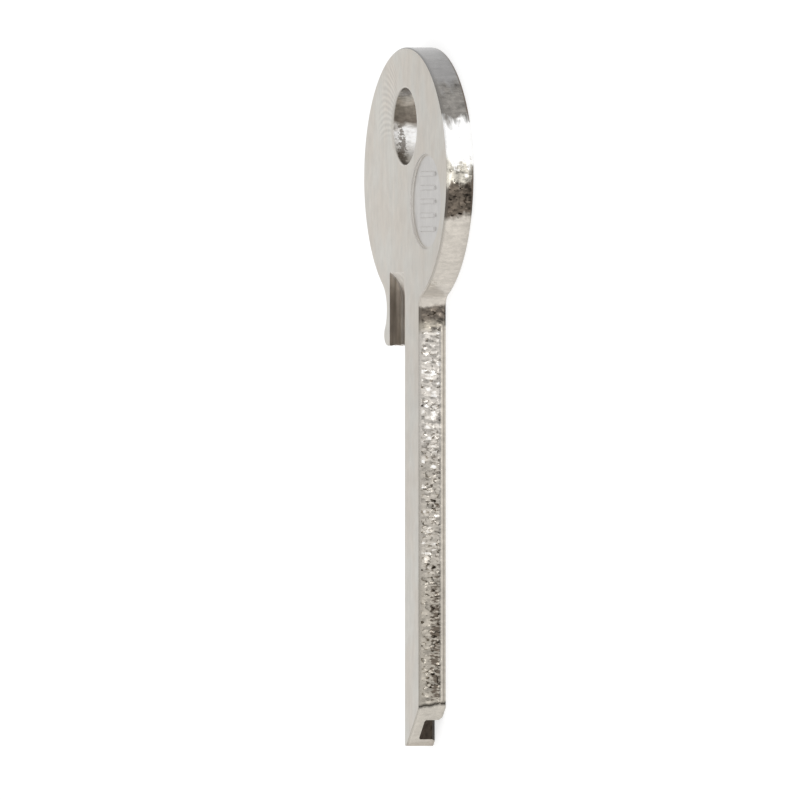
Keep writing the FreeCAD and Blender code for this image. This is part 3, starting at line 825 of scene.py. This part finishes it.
    # The front rim is duller. So are the lip above the strip, and the corner below
    # the bow, which mirrors the neck less.
    corner = product(tree, smooth_step(tree, axes["X"], *CORNER_FOOT),
                     smooth_step(tree, axes["X"], *CORNER_HEAD))
    off_lip = math_node(tree, "ABSOLUTE", math_node(tree, "SUBTRACT", axes["Z"], LIP_Z))
    lip = product(tree, smooth_step(tree, off_lip, 0.1, 0.05), on_strip)
    rim = smooth_step(tree, axes["Z"], THICKNESS - 0.2, THICKNESS - 0.08)
    dull = math_node(tree, "MAXIMUM", math_node(tree, "MAXIMUM", corner, rim), lip)
    # Painted light and shade: the corner is painted lighter and the lip darker.
    colour = shaded(tree, colour, scaled(tree, corner, 1.0, 1.25))
    colour = shaded(tree, colour, scaled(tree, lip, 1.0, 0.8))
    tree.links.new(colour, shader.inputs["Base Color"])
    tree.links.new(scaled(tree, torn, 0.24, 0.3), shader.inputs["Roughness"])
    tree.links.new(scaled(tree, dull, 1.0, 0.2), shader.inputs["Metallic"])
    rough_height = product(tree, crumble, scaled(tree, torn, 0.08, 1.0))
    set_bump(tree, shader, rough_height, 0.35, 0.03)


finish_torn("torn_nickel")
print_finish("torn_nickel")

# %% [markdown]
# The ring hole was punched too. Its wall changes from band to band as one goes
# down it, in painted light and shade: painted shade near the top, a painted
# highlight in the middle, and painted shade at the foot. A ragged dark streak runs
# along it half way through and rises to the front rim at the foot. Both rims are
# rounded over and as light as the faces.

# %% Wall of the ring hole
RIM_PALE = (0.70, 0.67, 0.62)
# The bands are painted light and shade: white as a painted highlight just below the middle of the hole,
# dark as painted shade near the foot and above the middle.
HOLE_BANDS = [
    (16.8, (0.24, 0.22, 0.19)),
    (17.2, (0.42, 0.40, 0.36)),
    (17.7, (0.50, 0.48, 0.45)),
    (18.2, (0.76, 0.745, 0.72)),
    (18.65, (0.97, 0.96, 0.94)),
    (19.35, (0.99, 0.98, 0.97)),
    (19.75, (0.50, 0.47, 0.43)),
    (20.0, (0.17, 0.145, 0.12)),
    (21.15, (0.27, 0.24, 0.20)),
    (21.45, (0.49, 0.44, 0.38)),
    (21.8, (0.48, 0.45, 0.40)),
    (21.95, (0.26, 0.24, 0.22)),
    (22.1, (0.48, 0.465, 0.445)),
    (22.4, (0.50, 0.485, 0.465)),
]
STREAK_Z = 1.36
STREAK_RISE = 0.4
STREAK_RISE_X = (18.3, 17.2)
STREAK_WIDER_X = (18.8, 18.0)
STREAK_END_X = (20.2, 19.6)
FRONT_RIM_Z = (1.9, 2.0)
BACK_RIM_Z = (0.12, 0.04)


def finish_bored(name):
    tree, shader, place = start_metal(name)
    axes = split(tree, place)
    patch = noise(tree, place, 3.0, 3.0, (1.6, 1.0, 0.6), 0.65)
    warp = math_node(tree, "SUBTRACT", noise(tree, place, 1.4, 2.0), 0.5)
    along = math_node(tree, "MULTIPLY_ADD", warp, 0.9, axes["X"])
    bands = colour_ramp(tree, along, [(x, (*tone, 1.0)) for x, tone in HOLE_BANDS])
    colour = shaded(tree, bands.outputs[0], scaled(tree, patch, 0.4, 1.65))

    # The ragged dark streak.
    crumble = noise(tree, place, 4.5, 4.0, (1.4, 1.0, 0.9), 0.65)
    crumble = math_node(tree, "SUBTRACT", crumble, 0.5)
    rise = smooth_step(tree, axes["X"], *STREAK_RISE_X)
    streak_z = scaled(tree, rise, STREAK_Z, STREAK_Z + STREAK_RISE)
    off_streak = math_node(tree, "SUBTRACT", axes["Z"], streak_z)
    off_streak = math_node(tree, "MULTIPLY_ADD", warp, 0.5, off_streak)
    off_streak = math_node(tree, "ABSOLUTE", off_streak)
    off_streak = math_node(tree, "MULTIPLY_ADD", crumble, 1.5, off_streak)
    wider = scaled(tree, smooth_step(tree, axes["X"], *STREAK_WIDER_X), 0.0, 0.12)
    off_streak = math_node(tree, "SUBTRACT", off_streak, wider)
    streak = product(tree, smooth_step(tree, off_streak, 0.26, 0.1),
                     smooth_step(tree, axes["X"], *STREAK_END_X))
    colour = blend_colours(tree, product(tree, streak, 0.78), colour, PIT_SHADE_BROWN)

    # Both rims.
    rims = math_node(tree, "MAXIMUM", smooth_step(tree, axes["Z"], *FRONT_RIM_Z),
                     smooth_step(tree, axes["Z"], *BACK_RIM_Z))
    colour = blend_colours(tree, rims, colour, RIM_PALE)
    tree.links.new(scaled(tree, rims, 1.0, 0.25), shader.inputs["Metallic"])
    tree.links.new(colour, shader.inputs["Base Color"])
    shader.inputs["Roughness"].default_value = 0.3
    set_bump(tree, shader, patch, 0.5, 0.05)


finish_bored("bored_nickel")
print_finish("bored_nickel")

# %% [markdown]
# The cuts along the blade are milled: fine even lines along the way the cutter
# went. The walls are dark, most of all where the groove comes out at the tip. At
# the bow end the floor runs out dull and pale.

# %% Milled walls and floors
WALL_LIGHT = (0.485, 0.44, 0.395)
WALL_DARK = (0.32, 0.28, 0.24)
TIP_DARK = (0.052, 0.042, 0.033)
FLOOR_LIGHT = (0.69, 0.665, 0.625)
FLOOR_WARM = (0.64, 0.61, 0.565)
TIP_DARK_X = (-19.5, -22.0)
RUN_OUT_X = (7.4, 8.6)
WALL_STREAK_Z = 1.46


def finish_milled(name, light, dark, wall_share, roughness, metallic, lift):
    tree, shader, place = start_metal(name)
    axes = split(tree, place)
    lines = noise(tree, place, 4.0, 3.0, (0.05, 1.0, 1.0))
    colour = blend_colours(tree, smooth_step(tree, lines, 0.3, 0.7), light, dark)
    # The walls get darker towards the tip, mottled.
    near_tip = product(tree, smooth_step(tree, axes["X"], *TIP_DARK_X), wall_share)
    colour = blend_colours(tree, near_tip, colour, TIP_DARK)
    patch = noise(tree, place, 1.5, 3.0, (0.6, 1.0, 1.0), 0.6)
    off_streak = math_node(tree, "ABSOLUTE", math_node(tree, "SUBTRACT", axes["Z"], WALL_STREAK_Z))
    streak = scaled(tree, smooth_step(tree, off_streak, 0.22, 0.05), 1.0, 1.0 + 0.25 * wall_share)
    shade = product(tree, scaled(tree, patch, 0.7, 1.3), streak)
    tip_mottle = noise(tree, place, 3.5, 4.0, (0.8, 1.0, 1.0), 0.65)
    tip_mottle = math_node(tree, "MULTIPLY_ADD", near_tip, scaled(tree, tip_mottle, -1.2, 1.2), 1.0)
    shade = product(tree, shade, tip_mottle)
    # A dull and pale run-out at the bow end.
    run_out = smooth_step(tree, axes["X"], *RUN_OUT_X)
    tree.links.new(scaled(tree, run_out, 1.0, metallic), shader.inputs["Metallic"])
    shade = product(tree, shade, scaled(tree, run_out, 1.0, lift))
    tree.links.new(shaded(tree, colour, shade), shader.inputs["Base Color"])
    shader.inputs["Roughness"].default_value = roughness
    set_bump(tree, shader, lines, 0.2, 0.03)


finish_milled("milled_wall_nickel", WALL_LIGHT, WALL_DARK, 1.0, 0.34, 1.0, 1.0)
finish_milled("milled_floor_nickel", FLOOR_LIGHT, FLOOR_WARM, 0.0, 0.42, 0.3, 1.42)
print_finish("milled_wall_nickel")
print_finish("milled_floor_nickel")

# %% [markdown]
# The key lies on a white table in soft light. Metal shows what is round it, so
# the surroundings matter more than the lamps: pale low down all round, dimmer
# above and behind the camera, and a bright window there for the facets to catch.
# To the camera and in reflections the table is part cloth and part glow. The glow
# brings it up to white, and the cloth keeps the key's shadow.

# %% Table, surroundings and lamps
TABLE_SIZE = 4.0
TABLE_DROP = 0.01
TABLE_COLOUR = 0.92
TABLE_SEEN_COLOUR = 0.42
TABLE_GLOW = 0.70
SKY_LOW = 0.81
SKY_HIGH = 0.45
SKY_BEHIND = 0.5
SKY_RISE_Z = (0.42, 0.9)
BEHIND_Y = (-0.1, -0.4)
BEHIND_FOOT_Z = (0.26, 0.42)
BEHIND_HEAD_Z = (0.95, 0.75)


def add_table():
    mesh = bpy.data.meshes.new("table")
    half = TABLE_SIZE / 2
    drop = -TABLE_DROP * MM
    corners = [(-half, -half, drop), (half, -half, drop), (half, half, drop), (-half, half, drop)]
    mesh.from_pydata(corners, [], [(0, 1, 2, 3)])
    table = bpy.data.objects.new("table", mesh)
    bpy.context.collection.objects.link(table)
    material = bpy.data.materials.new("white_table")
    material.use_nodes = True
    tree = material.node_tree
    tree.nodes.clear()
    path = add(tree, "ShaderNodeLightPath").outputs
    seen = math_node(tree, "MAXIMUM", path["Is Camera Ray"], path["Is Glossy Ray"])
    seen = math_node(tree, "MAXIMUM", seen, path["Is Transmission Ray"])
    grey = scaled(tree, seen, TABLE_COLOUR, TABLE_SEEN_COLOUR)
    cloth = add(tree, "ShaderNodeBsdfDiffuse", None, {"Color": grey})
    glow = add(tree, "ShaderNodeEmission", None, {"Strength": product(tree, seen, TABLE_GLOW)})
    both = add(tree, "ShaderNodeAddShader", None, {0: cloth.outputs[0], 1: glow.outputs[0]})
    add(tree, "ShaderNodeOutputMaterial", None, {"Surface": both.outputs[0]})
    mesh.materials.append(material)


def light_world():
    world = bpy.data.worlds.new("studio")
    bpy.context.scene.world = world
    world.use_nodes = True
    tree = world.node_tree
    tree.nodes.clear()
    way = add(tree, "ShaderNodeTexCoord").outputs["Generated"]
    axes = split(tree, way)
    strength = scaled(tree, smooth_step(tree, axes["Z"], *SKY_RISE_Z), SKY_LOW, SKY_HIGH)
    behind = product(tree, smooth_step(tree, axes["Y"], *BEHIND_Y),
                     smooth_step(tree, axes["Z"], *BEHIND_FOOT_Z),
                     smooth_step(tree, axes["Z"], *BEHIND_HEAD_Z))
    strength = add(tree, "ShaderNodeMix", None, {0: behind, 2: strength, 3: SKY_BEHIND}).outputs[0]
    path = add(tree, "ShaderNodeLightPath").outputs
    seen = path["Is Camera Ray"]
    strength = add(tree, "ShaderNodeMix", None, {0: seen, 2: strength, 3: 1.0}).outputs[0]
    light = add(tree, "ShaderNodeBackground", None,
                {"Color": (1.0, 0.995, 0.985, 1.0), "Strength": strength})
    add(tree, "ShaderNodeOutputWorld", None, {"Surface": light.outputs[0]})


def add_lamp(name, place, aim, width, height, power, in_reflections):
    data = bpy.data.lights.new(name, "AREA")
    data.shape = "RECTANGLE"
    data.size = width
    data.size_y = height
    data.energy = power
    lamp = bpy.data.objects.new(name, data)
    lamp.location = place
    lamp.rotation_euler = (Vector(aim) - Vector(place)).to_track_quat("-Z", "Y").to_euler()
    lamp.visible_glossy = in_reflections
    bpy.context.collection.objects.link(lamp)


add_table()
light_world()
add_lamp("overhead", (0, 0, 0.6), (0, 0, 0), 0.8, 0.8, 1.8, False)
add_lamp("window", (0.1, -0.6, 0.18), (0, 0, 0), 0.35, 0.12, 0.5, True)
print("table %.0f m wide, %d lamps" % (TABLE_SIZE, len(bpy.data.lights)))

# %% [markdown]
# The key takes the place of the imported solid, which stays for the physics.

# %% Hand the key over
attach(key, "root")
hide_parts("key_blank")
